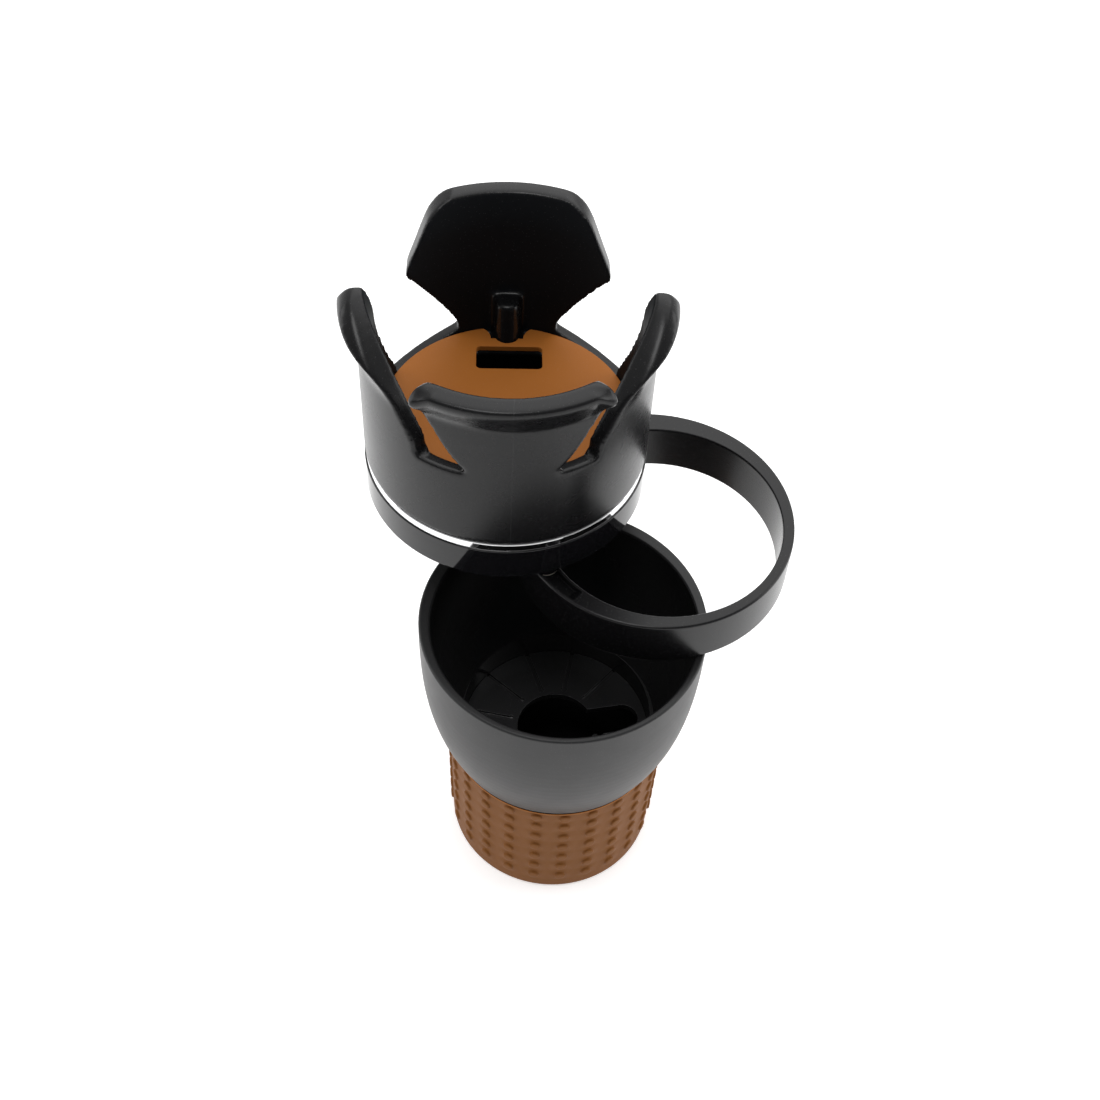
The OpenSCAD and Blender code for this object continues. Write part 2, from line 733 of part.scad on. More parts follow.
// Extrudes an outline drawn in x and height outwards along +Y
module outwards() {
    rotate([90, 0, 0]) mirror([0, 0, 1]) linear_extrude(cup_r * 1.5) children();
}

// Everything below a floor that slopes from the wall's inside to its outside
module below_slope(in_z, out_z) {
    far = cup_r * 1.3;
    slope = (out_z - in_z) / cup_wall;
    rotate_extrude()
        polygon([[0, -over], [far, -over], [far, out_z + slope * (far - cup_r)], [cup_bore_r, in_z], [0, in_z]]);
}

// What is kept of the crown behind the front petal: three petals and the walls between them
module petal_mask() {
    slope_h = 1.8;
    far = cup_r * 2;
    outwards() leaf_outline();
    for (side = [0, 1])
        mirror([side, 0, 0]) {
            intersection() {
                rotate(-side_angle) outwards() side_back_outline();
                rotate(-side_angle - side_cut_angle) outwards() side_front_outline();
            }
            // The back gap's floor is a plane that falls outwards
            intersection() {
                rotate(-back_gap_turn) translate([0, 0, back_gap_z + cup_r * tan(back_gap_tilt)])
                    rotate([-back_gap_tilt, 0, 0]) translate([-far, -far, -far]) cube([2 * far, 2 * far, far]);
                translate([-over, 0, 0]) cube([far, far, petal_h]);
            }
        }
    intersection() {
        below_slope(front_gap_z - slope_h, front_gap_z);
        translate([-far, -far, -over]) cube([2 * far, far + over, petal_h]);
    }
}

// Plan of the pillar that stands against the leaf, with hollow blends to the wall
module pillar_plan(grow = 0) {
    blend = pillar_blend_r - grow;
    reach_x = pillar_r + pillar_blend_r;
    translate([0, pillar_y]) circle(r = pillar_r + grow);
    difference() {
        translate([-reach_x, pillar_y]) square([2 * reach_x, cup_bore_r + over - pillar_y]);
        for (side = [-1, 1]) translate([side * reach_x, pillar_y]) circle(r = blend);
    }
}

module slot_plan() {
    x = slot_w / 2 - slot_round;
    y = slot_d / 2 - slot_round;
    translate([slot_shift, slot_y]) {
        square([slot_w, 2 * y], center = true);
        square([2 * x, slot_d], center = true);
        for (side = [-1, 1], end = [-1, 1]) translate([side * x, end * y]) circle(r = slot_round);
    }
}

module upper_cup() {
    skirt_r = band_bore_r - fit;
    hollow_r = skirt_r - skirt_wall;
    color("#202020") on_upper() difference() {
        union() {
            translate([0, 0, cup_z]) facing_leaf() {
                intersection() {
                    crown(petal_h, nose_round);
                    petal_mask();
                }
                intersection() {
                    crown(front_h, front_nose_round);
                    rotate(180) outwards() front_outline();
                }
            }
            translate([0, 0, cup_floor_z]) cylinder(r = cup_bore_r + over, h = cup_floor_t);
            translate([0, 0, ledge_top_z]) tube(skirt_r, hollow_r, cup_floor_z - ledge_top_z + over);
            translate([0, 0, pad_z - over]) facing_leaf()
                linear_extrude(over + pad_t + pillar_h) pillar_plan();
            at_cover_screws() translate([0, 0, cover_top_z])
                cylinder(r = cover_boss_r, h = cup_floor_z - cover_top_z + over);
        }
        translate([0, 0, cup_floor_z - over]) facing_leaf() linear_extrude(cup_floor_t + 2 * over) slot_plan();
        band_boss_space();
        at_cover_screws() translate([0, 0, cover_top_z - over])
            cylinder(r = cover_screw_r + press, h = cover_screw_len + over);
    }
}

module rubber_pad() {
    notch_round = 5.5;
    notch_x = 11;
    notch_y = pillar_y - pillar_r / 2;
    color("peru") on_upper() translate([0, 0, pad_z]) facing_leaf() linear_extrude(pad_t) difference() {
        circle(r = pad_r);
        slot_plan();
        pillar_plan(pad_gap);
        difference() {
            translate([-notch_x, notch_y]) square([2 * notch_x, pad_r]);
            for (side = [-1, 1]) translate([side * notch_x, notch_y]) circle(r = notch_round);
        }
    }
}

rubber_sleeve();
base_cup();
floor_insert();
ring_pivot_pin();
ring_thrust_washer();
ring_pivot_washer();
ring_pivot_screw();
swing_ring();
upper_pivot_pin();
upper_thrust_washer();
upper_pivot_washer();
upper_pivot_screw();
base_cover();
cover_screws();
base_band();
trim_ring();
upper_cup();
rubber_pad();
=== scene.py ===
import math

import bmesh
import bpy
from mathutils import Matrix, Vector


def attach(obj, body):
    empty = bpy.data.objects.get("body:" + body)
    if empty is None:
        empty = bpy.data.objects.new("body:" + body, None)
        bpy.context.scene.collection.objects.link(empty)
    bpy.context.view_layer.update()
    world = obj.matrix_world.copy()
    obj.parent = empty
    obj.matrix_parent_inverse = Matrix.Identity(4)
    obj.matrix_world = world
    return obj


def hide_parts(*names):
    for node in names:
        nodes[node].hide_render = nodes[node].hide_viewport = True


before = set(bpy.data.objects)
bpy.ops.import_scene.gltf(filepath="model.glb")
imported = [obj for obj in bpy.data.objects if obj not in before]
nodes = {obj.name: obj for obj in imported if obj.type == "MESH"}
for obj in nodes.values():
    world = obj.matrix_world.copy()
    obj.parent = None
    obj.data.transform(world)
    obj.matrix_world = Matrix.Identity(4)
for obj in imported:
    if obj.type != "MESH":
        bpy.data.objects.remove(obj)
scene = bpy.context.scene
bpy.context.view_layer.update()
mm = 0.001
print("frame loaded:", len(nodes), "nodes")


def showObject(name, mesh):
    piece = bpy.data.objects.new(name, mesh)
    scene.collection.objects.link(piece)
    return piece


# keeps the result of the modifiers as the mesh itself
def applyModifiers(piece):
    bpy.context.view_layer.update()
    seen = piece.evaluated_get(bpy.context.evaluated_depsgraph_get())
    mesh = bpy.data.meshes.new_from_object(seen)
    piece.modifiers.clear()
    piece.data = mesh


def smoothFaces(mesh, sharpAngle):
    mesh.polygons.foreach_set("use_smooth", [True] * len(mesh.polygons))
    mesh.set_sharp_from_angle(angle=math.radians(sharpAngle))


# the node's own shape with its hard edges rounded, as a piece that stands for it; sizes in millimetres
def roundedCopy(nodeName, body, look):
    mesh = nodes[nodeName].data.copy()
    mesh.materials.clear()
    work = bmesh.new()
    work.from_mesh(mesh)
    bmesh.ops.remove_doubles(work, verts=work.verts, dist=look["weld"] * mm)
    bmesh.ops.dissolve_limit(work, angle_limit=math.radians(look["flatAngle"]),
                             verts=work.verts, edges=work.edges)
    work.to_mesh(mesh)
    work.free()
    if "custom_normal" in mesh.attributes:
        mesh.attributes.remove(mesh.attributes["custom_normal"])
    piece = showObject(look["name"], mesh)
    soft = piece.modifiers.new("softEdges", "BEVEL")
    soft.limit_method = "ANGLE"
    soft.angle_limit = math.radians(look["edgeAngle"])
    soft.width = look["edge"] * mm
    soft.segments = look["edgeSteps"]
    soft.miter_outer = "MITER_ARC"
    applyModifiers(piece)
    smoothFaces(piece.data, look["sharpAngle"])
    even = piece.modifiers.new("evenShading", "WEIGHTED_NORMAL")
    even.keep_sharp = True
    applyModifiers(piece)
    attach(piece, body)
    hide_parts(nodeName)
    return piece


def newGroup(name, inputs, outputs):
    group = bpy.data.node_groups.new(name, "ShaderNodeTree")
    for label, value in inputs:
        socket = group.interface.new_socket(name=label, in_out="INPUT", socket_type="NodeSocketFloat")
        socket.default_value = value
    for label, kind in outputs:
        group.interface.new_socket(name=label, in_out="OUTPUT", socket_type=kind)
    return group, group.nodes.new("NodeGroupInput"), group.nodes.new("NodeGroupOutput")


def mathNode(tree, operation, first, second=None, clamp=False):
    node = tree.nodes.new("ShaderNodeMath")
    node.operation = operation
    node.use_clamp = clamp
    for socket, value in zip(node.inputs, (first, second)):
        if value is None:
            continue
        if isinstance(value, (int, float)):
            socket.default_value = value
        else:
            tree.links.new(value, socket)
    return node.outputs[0]


# noise in the piece's own space, from a size in millimetres
def placeNoise(tree, place, size, detail):
    noise = tree.nodes.new("ShaderNodeTexNoise")
    noise.inputs["Detail"].default_value = detail
    tree.links.new(place.outputs["Object"], noise.inputs["Vector"])
    tree.links.new(mathNode(tree, "DIVIDE", 1000.0, size), noise.inputs["Scale"])
    return noise


# fine moulded grain, with slow swells as on a real moulding
def makeMouldGrain():
    group, given, out = newGroup("mouldGrain",
                                 [("Grain Size", 0.4), ("Swell Size", 14.0), ("Swell Share", 0.2)],
                                 [("Height", "NodeSocketFloat"), ("Tone", "NodeSocketFloat")])
    place = group.nodes.new("ShaderNodeTexCoord")
    grain = placeNoise(group, place, given.outputs["Grain Size"], detail=3)
    swell = placeNoise(group, place, given.outputs["Swell Size"], detail=2)
    slow = mathNode(group, "MULTIPLY", swell.outputs["Fac"], given.outputs["Swell Share"])
    group.links.new(mathNode(group, "ADD", grain.outputs["Fac"], slow), out.inputs["Height"])
    group.links.new(swell.outputs["Fac"], out.inputs["Tone"])
    return group


# how much an edge is rubbed, and a normal that turns softly over it
def makeRubbedEdge():
    group, given, out = newGroup("rubbedEdge", [("Radius", 0.3), ("Rub Size", 3.0)],
                                 [("Rub", "NodeSocketFloat"), ("Normal", "NodeSocketVector")])
    bendGain = 6.0  # how soon a turn of the normal counts as an edge
    turned = group.nodes.new("ShaderNodeBevel")
    turned.samples = 4
    group.links.new(mathNode(group, "MULTIPLY", given.outputs["Radius"], mm), turned.inputs["Radius"])
    shape = group.nodes.new("ShaderNodeNewGeometry")
    same = group.nodes.new("ShaderNodeVectorMath")
    same.operation = "DOT_PRODUCT"
    group.links.new(turned.outputs[0], same.inputs[0])
    group.links.new(shape.outputs["Normal"], same.inputs[1])
    apart = mathNode(group, "SUBTRACT", 1.0, same.outputs["Value"])
    bend = mathNode(group, "MULTIPLY", apart, bendGain, clamp=True)
    place = group.nodes.new("ShaderNodeTexCoord")
    patch = placeNoise(group, place, given.outputs["Rub Size"], detail=4)
    group.links.new(mathNode(group, "MULTIPLY", bend, patch.outputs["Fac"]), out.inputs["Rub"])
    group.links.new(turned.outputs[0], out.inputs["Normal"])
    return group


# faint handling marks: roughness that wanders, and a little dust
def makeHandling():
    group, given, out = newGroup("handlingMarks",
                                 [("Roughness", 0.4), ("Spread", 0.06), ("Mark Size", 9.0), ("Dust", 0.05)],
                                 [("Roughness", "NodeSocketFloat"), ("Dust", "NodeSocketFloat")])
    specksPerMetre, speckSize = 900, 0.12  # the size is a share of a speck's cell
    place = group.nodes.new("ShaderNodeTexCoord")
    marks = placeNoise(group, place, given.outputs["Mark Size"], detail=5)
    marks.inputs["Distortion"].default_value = 0.6
    around = mathNode(group, "SUBTRACT", marks.outputs["Fac"], 0.5)
    change = mathNode(group, "MULTIPLY", around, mathNode(group, "MULTIPLY", given.outputs["Spread"], 2.0))
    worn = mathNode(group, "ADD", given.outputs["Roughness"], change, clamp=True)
    group.links.new(worn, out.inputs["Roughness"])
    specks = group.nodes.new("ShaderNodeTexVoronoi")
    specks.inputs["Scale"].default_value = specksPerMetre
    group.links.new(place.outputs["Object"], specks.inputs["Vector"])
    small = mathNode(group, "LESS_THAN", specks.outputs["Distance"], speckSize)
    group.links.new(mathNode(group, "MULTIPLY", small, given.outputs["Dust"]), out.inputs["Dust"])
    return group


# 1 on faces that look towards an upright axis at (Centre X, Centre Y), in millimetres
def makeInnerFaces():
    group, given, out = newGroup("innerFaces", [("Centre X", 0.0), ("Centre Y", 0.0)],
                                 [("Inside", "NodeSocketFloat")])
    inwardGain = -60.0  # full from 17 mm off the axis
    place = group.nodes.new("ShaderNodeTexCoord")
    point = group.nodes.new("ShaderNodeSeparateXYZ")
    facing = group.nodes.new("ShaderNodeSeparateXYZ")
    group.links.new(place.outputs["Object"], point.inputs[0])
    group.links.new(place.outputs["Normal"], facing.inputs[0])
    along = []
    for axis in ("X", "Y"):
        centre = mathNode(group, "MULTIPLY", given.outputs["Centre " + axis], mm)
        off = mathNode(group, "SUBTRACT", point.outputs[axis], centre)
        along.append(mathNode(group, "MULTIPLY", off, facing.outputs[axis]))
    inward = mathNode(group, "MULTIPLY", mathNode(group, "ADD", *along), inwardGain, clamp=True)
    group.links.new(inward, out.inputs["Inside"])
    return group


# 1 on faces that look up, 0 on steep ones and below; it masks the painted light and shade on upward faces
def makeUpFaces():
    group, given, out = newGroup("upFaces", [("From", 0.8)], [("Up", "NodeSocketFloat")])
    upGain = 10.0  # full at 0.1 above From
    shape = group.nodes.new("ShaderNodeNewGeometry")
    facing = group.nodes.new("ShaderNodeSeparateXYZ")
    group.links.new(shape.outputs["True Normal"], facing.inputs[0])
    over = mathNode(group, "SUBTRACT", facing.outputs["Z"], given.outputs["From"])
    group.links.new(mathNode(group, "MULTIPLY", over, upGain, clamp=True), out.inputs["Up"])
    return group


# 1 on a thin line at Line X over a moulding, on the front side of Centre Y, in millimetres
def makePartingLine():
    group, given, out = newGroup("partingLine", [("Centre Y", 0.0), ("Line X", 0.0), ("Width", 0.3)],
                                 [("Line", "NodeSocketFloat")])
    place = group.nodes.new("ShaderNodeTexCoord")
    point = group.nodes.new("ShaderNodeSeparateXYZ")
    group.links.new(place.outputs["Object"], point.inputs[0])
    alongX = mathNode(group, "MULTIPLY", point.outputs["X"], 1000.0)
    alongY = mathNode(group, "MULTIPLY", point.outputs["Y"], 1000.0)
    off = mathNode(group, "ABSOLUTE", mathNode(group, "SUBTRACT", alongX, given.outputs["Line X"]))
    share = mathNode(group, "DIVIDE", off, given.outputs["Width"])
    near = mathNode(group, "SUBTRACT", 1.0, share, clamp=True)
    front = mathNode(group, "LESS_THAN", alongY, given.outputs["Centre Y"])
    group.links.new(mathNode(group, "MULTIPLY", near, front), out.inputs["Line"])
    return group


mouldGrain = makeMouldGrain()
rubbedEdge = makeRubbedEdge()
handling = makeHandling()
innerFaces = makeInnerFaces()
upFaces = makeUpFaces()
partingLine = makePartingLine()


def placeGroup(tree, group, values):
    node = tree.nodes.new("ShaderNodeGroup")
    node.node_tree = group
    for label, value in values.items():
        node.inputs[label].default_value = value
    return node


def mixColour(tree, factor, first, second):
    mix = tree.nodes.new("ShaderNodeMix")
    mix.data_type = "RGBA"
    tree.links.new(factor, mix.inputs["Factor"])
    for socket, value in ((mix.inputs[6], first), (mix.inputs[7], second)):
        if isinstance(value, tuple):
            socket.default_value = (*value, 1)
        else:
            tree.links.new(value, socket)
    return mix.outputs[2]


dustColour = (0.5, 0.5, 0.5)


# a finish of grain, handling marks and rubbed edges, from one dictionary
def makeFinish(look):
    material = bpy.data.materials.new(look["name"])
    material.use_nodes = True
    tree = material.node_tree
    tree.nodes.clear()
    out = tree.nodes.new("ShaderNodeOutputMaterial")
    shader = tree.nodes.new("ShaderNodeBsdfPrincipled")
    tree.links.new(shader.outputs[0], out.inputs["Surface"])
    shader.inputs["Metallic"].default_value = look.get("metallic", 0)
    shader.inputs["IOR"].default_value = 1.5
    shader.inputs["Specular IOR Level"].default_value = look.get("specular", 0.5)
    grain = placeGroup(tree, mouldGrain, {"Grain Size": look["grainSize"], "Swell Size": look["swellSize"]})
    edge = placeGroup(tree, rubbedEdge, {"Radius": look["edgeRadius"]})
    marks = placeGroup(tree, handling, {"Roughness": look["roughness"], "Spread": look["spread"],
                                        "Dust": look.get("dust", 0.05)})
    colour = mixColour(tree, grain.outputs["Tone"], look["colour"], look["colourTwo"])
    colour = mixColour(tree, edge.outputs["Rub"], colour, look["rubColour"])
    colour = mixColour(tree, marks.outputs["Dust"], colour, dustColour)
    roughness = marks.outputs["Roughness"]
    if "inside" in look:
        inside = look["inside"]
        inner = placeGroup(tree, innerFaces, {"Centre X": inside["centre"][0], "Centre Y": inside["centre"][1]})
        colour = mixColour(tree, inner.outputs["Inside"], colour, inside["colour"])
        lower = mathNode(tree, "MULTIPLY", inner.outputs["Inside"], look["roughness"] - inside["roughness"])
        roughness = mathNode(tree, "SUBTRACT", roughness, lower, clamp=True)
    # painted light and shade: upward faces take a colour that stands in for how they are lit
    if "paintedTopShading" in look:
        top = placeGroup(tree, upFaces, {})
        colour = mixColour(tree, top.outputs["Up"], colour, look["paintedTopShading"])
    if "line" in look:
        line = look["line"]
        mark = placeGroup(tree, partingLine, {"Centre Y": line["centreY"], "Line X": line["x"],
                                              "Width": line["width"]})
        colour = mixColour(tree, mark.outputs["Line"], colour, line["colour"])
    bump = tree.nodes.new("ShaderNodeBump")
    bump.inputs["Strength"].default_value = look["grainStrength"]
    bump.inputs["Distance"].default_value = look["grainDepth"] * mm
    tree.links.new(grain.outputs["Height"], bump.inputs["Height"])
    tree.links.new(edge.outputs["Normal"], bump.inputs["Normal"])
    tree.links.new(colour, shader.inputs["Base Color"])
    tree.links.new(roughness, shader.inputs["Roughness"])
    tree.links.new(bump.outputs[0], shader.inputs["Normal"])
    return material


def dress(piece, material):
    piece.data.materials.clear()
    piece.data.materials.append(material)


# fitted to the ellipses of the rims in the photo
cameraLook = {
    "place": (-0.0058, -0.3045, 0.5308),
    "pitch": 51.076,
    "roll": -3.384,
    "lens": 50.66,
    "sensor": 36,
}


def makeCamera(look):
    pitch, roll = math.radians(look["pitch"]), math.radians(look["roll"])
    ahead = Vector((0, math.cos(pitch), -math.sin(pitch)))
    right = Vector((1, 0, 0))
    down = ahead.cross(right)
    across = right * math.cos(roll) + down * math.sin(roll)
    below = down * math.cos(roll) - right * math.sin(roll)
    data = bpy.data.cameras.new("photoCamera")
    data.sensor_fit = "HORIZONTAL"
    data.sensor_width = look["sensor"]
    data.lens = look["lens"]
    data.clip_start = 0.01
    camera = bpy.data.objects.new("photoCamera", data)
    turn = Matrix((across, -below, -ahead)).transposed().to_4x4()
    camera.matrix_world = Matrix.Translation(look["place"]) @ turn
    scene.collection.objects.link(camera)
    scene.camera = camera


floorLook = {
    "radius": 3.0,
    "sides": 96,
    "drop": 0.0001,  # it lies this far under the foot
    "colour": (0.86, 0.86, 0.86),
    "glow": 0.48,
    "roughness": 0.8,
    "specular": 0.2,
}


def makeFloor(look):
    work = bmesh.new()
    bmesh.ops.create_circle(work, cap_ends=True, segments=look["sides"], radius=look["radius"])
    mesh = bpy.data.meshes.new("studioFloor")
    work.to_mesh(mesh)
    work.free()
    floor = showObject("studioFloor", mesh)
    floor.location.z = -look["drop"]
    material = bpy.data.materials.new("paleFloor")
    material.use_nodes = True
    shader = material.node_tree.nodes["Principled BSDF"]
    shader.inputs["Base Color"].default_value = (*look["colour"], 1)
    shader.inputs["Roughness"].default_value = look["roughness"]
    shader.inputs["Specular IOR Level"].default_value = look["specular"]
    shader.inputs["Emission Color"].default_value = (1, 1, 1, 1)
    shader.inputs["Emission Strength"].default_value = look["glow"]
    mesh.materials.append(material)


lightLook = {
    # the room is dim on the photographer's side and bright behind the object
    "roomFront": 0.3,
    "roomBack": 0.85,
    # the room's brightness goes from the one to the other between these directions along Y
    "fadeFrom": -0.7,
    "fadeTo": 0.6,
    "aim": (0, 0.02, 0.1),
    "boxes": [
        {"name": "overheadBack", "place": (0.2, 0.75, 1.15), "size": 1.4, "watts": 8},
        {"name": "rightSide", "place": (1.1, 0.2, 0.5), "size": 0.7, "watts": 4},
        {"name": "leftSide", "place": (-1.1, 0.1, 0.45), "size": 0.7, "watts": 3},
        {"name": "frontTop", "place": (-0.15, -0.25, 1.5), "size": 0.5, "watts": 5},
    ],
}


def makeLights(look):
    world = bpy.data.worlds.new("studioRoom")
    world.use_nodes = True
    tree = world.node_tree
    towards = tree.nodes.new("ShaderNodeTexCoord")
    parts = tree.nodes.new("ShaderNodeSeparateXYZ")
    fade = tree.nodes.new("ShaderNodeMapRange")
    fade.interpolation_type = "SMOOTHSTEP"
    fade.inputs["From Min"].default_value = look["fadeFrom"]
    fade.inputs["From Max"].default_value = look["fadeTo"]
    fade.inputs["To Min"].default_value = look["roomFront"]
    fade.inputs["To Max"].default_value = look["roomBack"]
    tree.links.new(towards.outputs["Generated"], parts.inputs[0])
    tree.links.new(parts.outputs["Y"], fade.inputs["Value"])
    tree.nodes["Background"].inputs["Color"].default_value = (1, 1, 1, 1)
    tree.links.new(fade.outputs[0], tree.nodes["Background"].inputs["Strength"])
    scene.world = world
    for box in look["boxes"]:
        data = bpy.data.lights.new(box["name"], "AREA")
        data.shape = "SQUARE"
        data.size = box["size"]
        data.energy = box["watts"]
        light = bpy.data.objects.new(box["name"], data)
        light.location = box["place"]
        aim = Vector(look["aim"]) - Vector(box["place"])
        light.rotation_euler = aim.to_track_quat("-Z", "Y").to_euler()
        scene.collection.objects.link(light)


makeCamera(cameraLook)
makeFloor(floorLook)
makeLights(lightLook)
scene.view_settings.view_transform = "Standard"
print("camera, floor and lights set")


# lengths in millimetres, angles in degrees
bootLook = {
    "height": 57,
    "topRadius": 38.3,
    "bottomRadius": 37.5,
    "boreRadius": 35.5,
    "floor": 2.5,
    "bottomRound": 1.4,
    "roundSteps": 6,
    # the rim it stands on: inset of its inner edge and of the recess behind it, and the recess's depth
    "standInset": 4,
    "recessInset": 4.6,
    "recess": 0.5,
    "plainFoot": 3,
    "hub": 0.5,  # radius of the small face in the middle of a disc
    "studColumns": 24,
    "studRows": 7,
    "firstRow": 9,
    "rowPitch": 7.4,
    "studHalfWidth": 2.1,
    "studHalfHeight": 2.15,
    "studSquareness": 2.15,
    # share of the stud's outline and height there, from its top to the wall; the top sits a little high
    "studProfile": [(0.4, 0.86), (0.66, 0.83), (0.82, 0.74), (0.91, 0.56), (0.97, 0.3), (1.02, 0.08),
                    (1.1, 0.0)],
    "studLift": 0.3,
    "studCrown": 0.02,  # its middle stands this much over the flat of its top
    "topRowLimit": 55.0,
    "rowMargin": 0.5,
    "beadOut": 0.5,
    "beadSunk": 0.1,
    "beadMiddle": 55.75,
    "beadHalfHeight": 0.65,
    "gapDepth": 0.8,
    "gapStep": 0.05,
    "boreEdge": 0.3,
    "cellSteps": 8,
    "weld": 0.002,
    "sharpAngle": 50,
    "finish": {
        "name": "bootRubber", "colour": (0.205, 0.076, 0.0155), "colourTwo": (0.18, 0.066, 0.0125),
        "rubColour": (0.27, 0.105, 0.03), "roughness": 0.6, "spread": 0.06, "grainSize": 0.5, "swellSize": 18,
        "grainStrength": 0.35, "grainDepth": 0.05, "edgeRadius": 0.2, "specular": 0.16,
    },
    # painted highlight: the bead's faces get a lighter copy of the boot's rubber for the light they catch
    "paintedLitBeadFinish": {"name": "paintedLitBeadRubber", "colour": (0.36, 0.13, 0.026), "colourTwo": (0.32, 0.112, 0.022)},
    # painted shade: the bead's upper half is painted dark for the shadow of the bowl
    "paintedShadeFinish": {"name": "paintedShadeRubber", "colour": (0.03, 0.01, 0.003), "colourTwo": (0.022, 0.008, 0.002),
                    "rubColour": (0.04, 0.015, 0.005), "specular": 0.05},
    "paintedShadeFrom": 56.2,
}


def makeBoot(look):
    steps = look["cellSteps"]
    columns = look["studColumns"]
    turnStep = math.tau / columns / steps
    taper = (look["topRadius"] - look["bottomRadius"]) / look["height"]
    work = bmesh.new()

    def addPoint(radius, angle, z):
        return work.verts.new((radius * math.cos(angle) * mm, radius * math.sin(angle) * mm, z * mm))

    def wallPoint(angle, z, out):
        return addPoint(look["bottomRadius"] + taper * z + out, angle, z)

    def addRing(radius, z):
        return [addPoint(radius, i * turnStep - math.pi / 2, z) for i in range(columns * steps)]

    def joinRings(low, high):
        for i in range(len(low)):
            j = (i + 1) % len(low)
            work.faces.new((low[i], low[j], high[j], high[i]))

    # one cell of the wall with its stud: rings of points from the stud's middle out to the cell's border
    def addStud(column, low, high, middle, halfHeight):
        count = 4 * steps
        centre = (column + 0.5) * math.tau / columns - math.pi / 2
        halfTurn = math.pi / columns
        wide = look["studHalfWidth"] / look["topRadius"]
        power = 2 / look["studSquareness"]
        border, oval = [], []
        for i in range(count):
            side, along = divmod((i + steps // 2) % count, steps)
            t = along / steps * 2 - 1
            border.append(((1, t), (-t, 1), (-1, -t), (t, -1))[side])
            a = i / count * math.tau
            oval.append((math.copysign(abs(math.cos(a)) ** power, math.cos(a)),
                         math.copysign(abs(math.sin(a)) ** power, math.sin(a))))
        tip = wallPoint(centre, middle + look["studLift"], look["studProfile"][0][1] + look["studCrown"])
        inner = None
        for share, out in look["studProfile"]:
            lift = look["studLift"] * max(1 - share, 0)
            ring = [wallPoint(centre + x * wide * share, middle + lift + z * halfHeight * share, out)
                    for x, z in oval]
            for i in range(count):
                j = (i + 1) % count
                if inner is None:
                    work.faces.new((tip, ring[i], ring[j]))
                else:
                    work.faces.new((inner[i], ring[i], ring[j], inner[j]))
            inner = ring
        edge = [wallPoint(centre + x * halfTurn, (low + high) / 2 + z * (high - low) / 2, 0)
                for x, z in border]
        for i in range(count):
            j = (i + 1) % count
            work.faces.new((inner[i], edge[i], edge[j], inner[j]))

    start = look["firstRow"] - look["rowPitch"] / 2
    for row in range(look["studRows"]):
        low = start + row * look["rowPitch"]
        high = min(low + look["rowPitch"], look["topRowLimit"])
        middle = look["firstRow"] + row * look["rowPitch"]
        halfHeight = look["studHalfHeight"]
        if high < low + look["rowPitch"]:
            halfHeight = min(halfHeight, (high - low) / 2 - look["rowMargin"])
            middle = (low + high) / 2
        for column in range(columns):
            addStud(column, low, high, middle, halfHeight)

    bottom = look["bottomRadius"]
    curve = look["bottomRound"]
    profile = [(bottom + taper * start, start), (bottom + taper * look["plainFoot"], look["plainFoot"])]
    for i in range(look["roundSteps"] + 1):
        a = i / look["roundSteps"] * math.pi / 2
        profile.append((bottom - curve + curve * math.cos(a), curve - curve * math.sin(a)))
    profile += [(bottom - look["standInset"], 0), (bottom - look["recessInset"], look["recess"]),
                (6 * look["hub"], look["recess"]), (look["hub"], look["recess"])]
    rings = [addRing(r, z) for r, z in reversed(profile)]
    for low, high in zip(rings, rings[1:]):
        joinRings(low, high)
    work.faces.new(list(reversed(rings[0])))

    # the bead round the top edge, the dark gap above it, then down the bore to the inside floor
    sunk, height, bore, edge = look["beadSunk"], look["height"], look["boreRadius"], look["boreEdge"]
    gapRadius = look["topRadius"] - look["gapDepth"]
    top = [(bottom + taper * look["topRowLimit"], look["topRowLimit"])]
    for degrees in range(-80, 81, 20):
        a = math.radians(degrees)
        top.append((look["topRadius"] - sunk + (look["beadOut"] + sunk) * math.cos(a),
                    look["beadMiddle"] + look["beadHalfHeight"] * math.sin(a)))
    top += [(gapRadius, look["beadMiddle"] + look["beadHalfHeight"] + look["gapStep"]), (gapRadius, height),
            (bore + edge, height), (bore, height - edge), (bore, look["floor"]), (look["hub"], look["floor"])]
    rings = [addRing(r, z) for r, z in top]
    for low, high in zip(rings, rings[1:]):
        joinRings(low, high)
    work.faces.new(rings[-1])
    bmesh.ops.remove_doubles(work, verts=work.verts, dist=look["weld"] * mm)
    bmesh.ops.recalc_face_normals(work, faces=work.faces)
    mesh = bpy.data.meshes.new("rubberBoot")
    work.to_mesh(mesh)
    work.free()
    smoothFaces(mesh, look["sharpAngle"])
    boot = showObject("rubberBoot", mesh)
    dress(boot, makeFinish(look["finish"]))
    for part in ("paintedLitBeadFinish", "paintedShadeFinish"):
        mesh.materials.append(makeFinish(dict(look["finish"], **look[part])))
    # the bead's faces take the painted highlight, and its highest faces the painted shade
    for face in mesh.polygons:
        middle = face.center / mm
        if middle.z > look["topRowLimit"] + sunk and middle.xy.length > look["topRadius"] - sunk:
            face.material_index = 2 if middle.z > look["paintedShadeFrom"] else 1
    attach(boot, "base")
    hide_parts("rubber_sleeve")
    print("boot:", len(mesh.polygons), "faces")


makeBoot(bootLook)


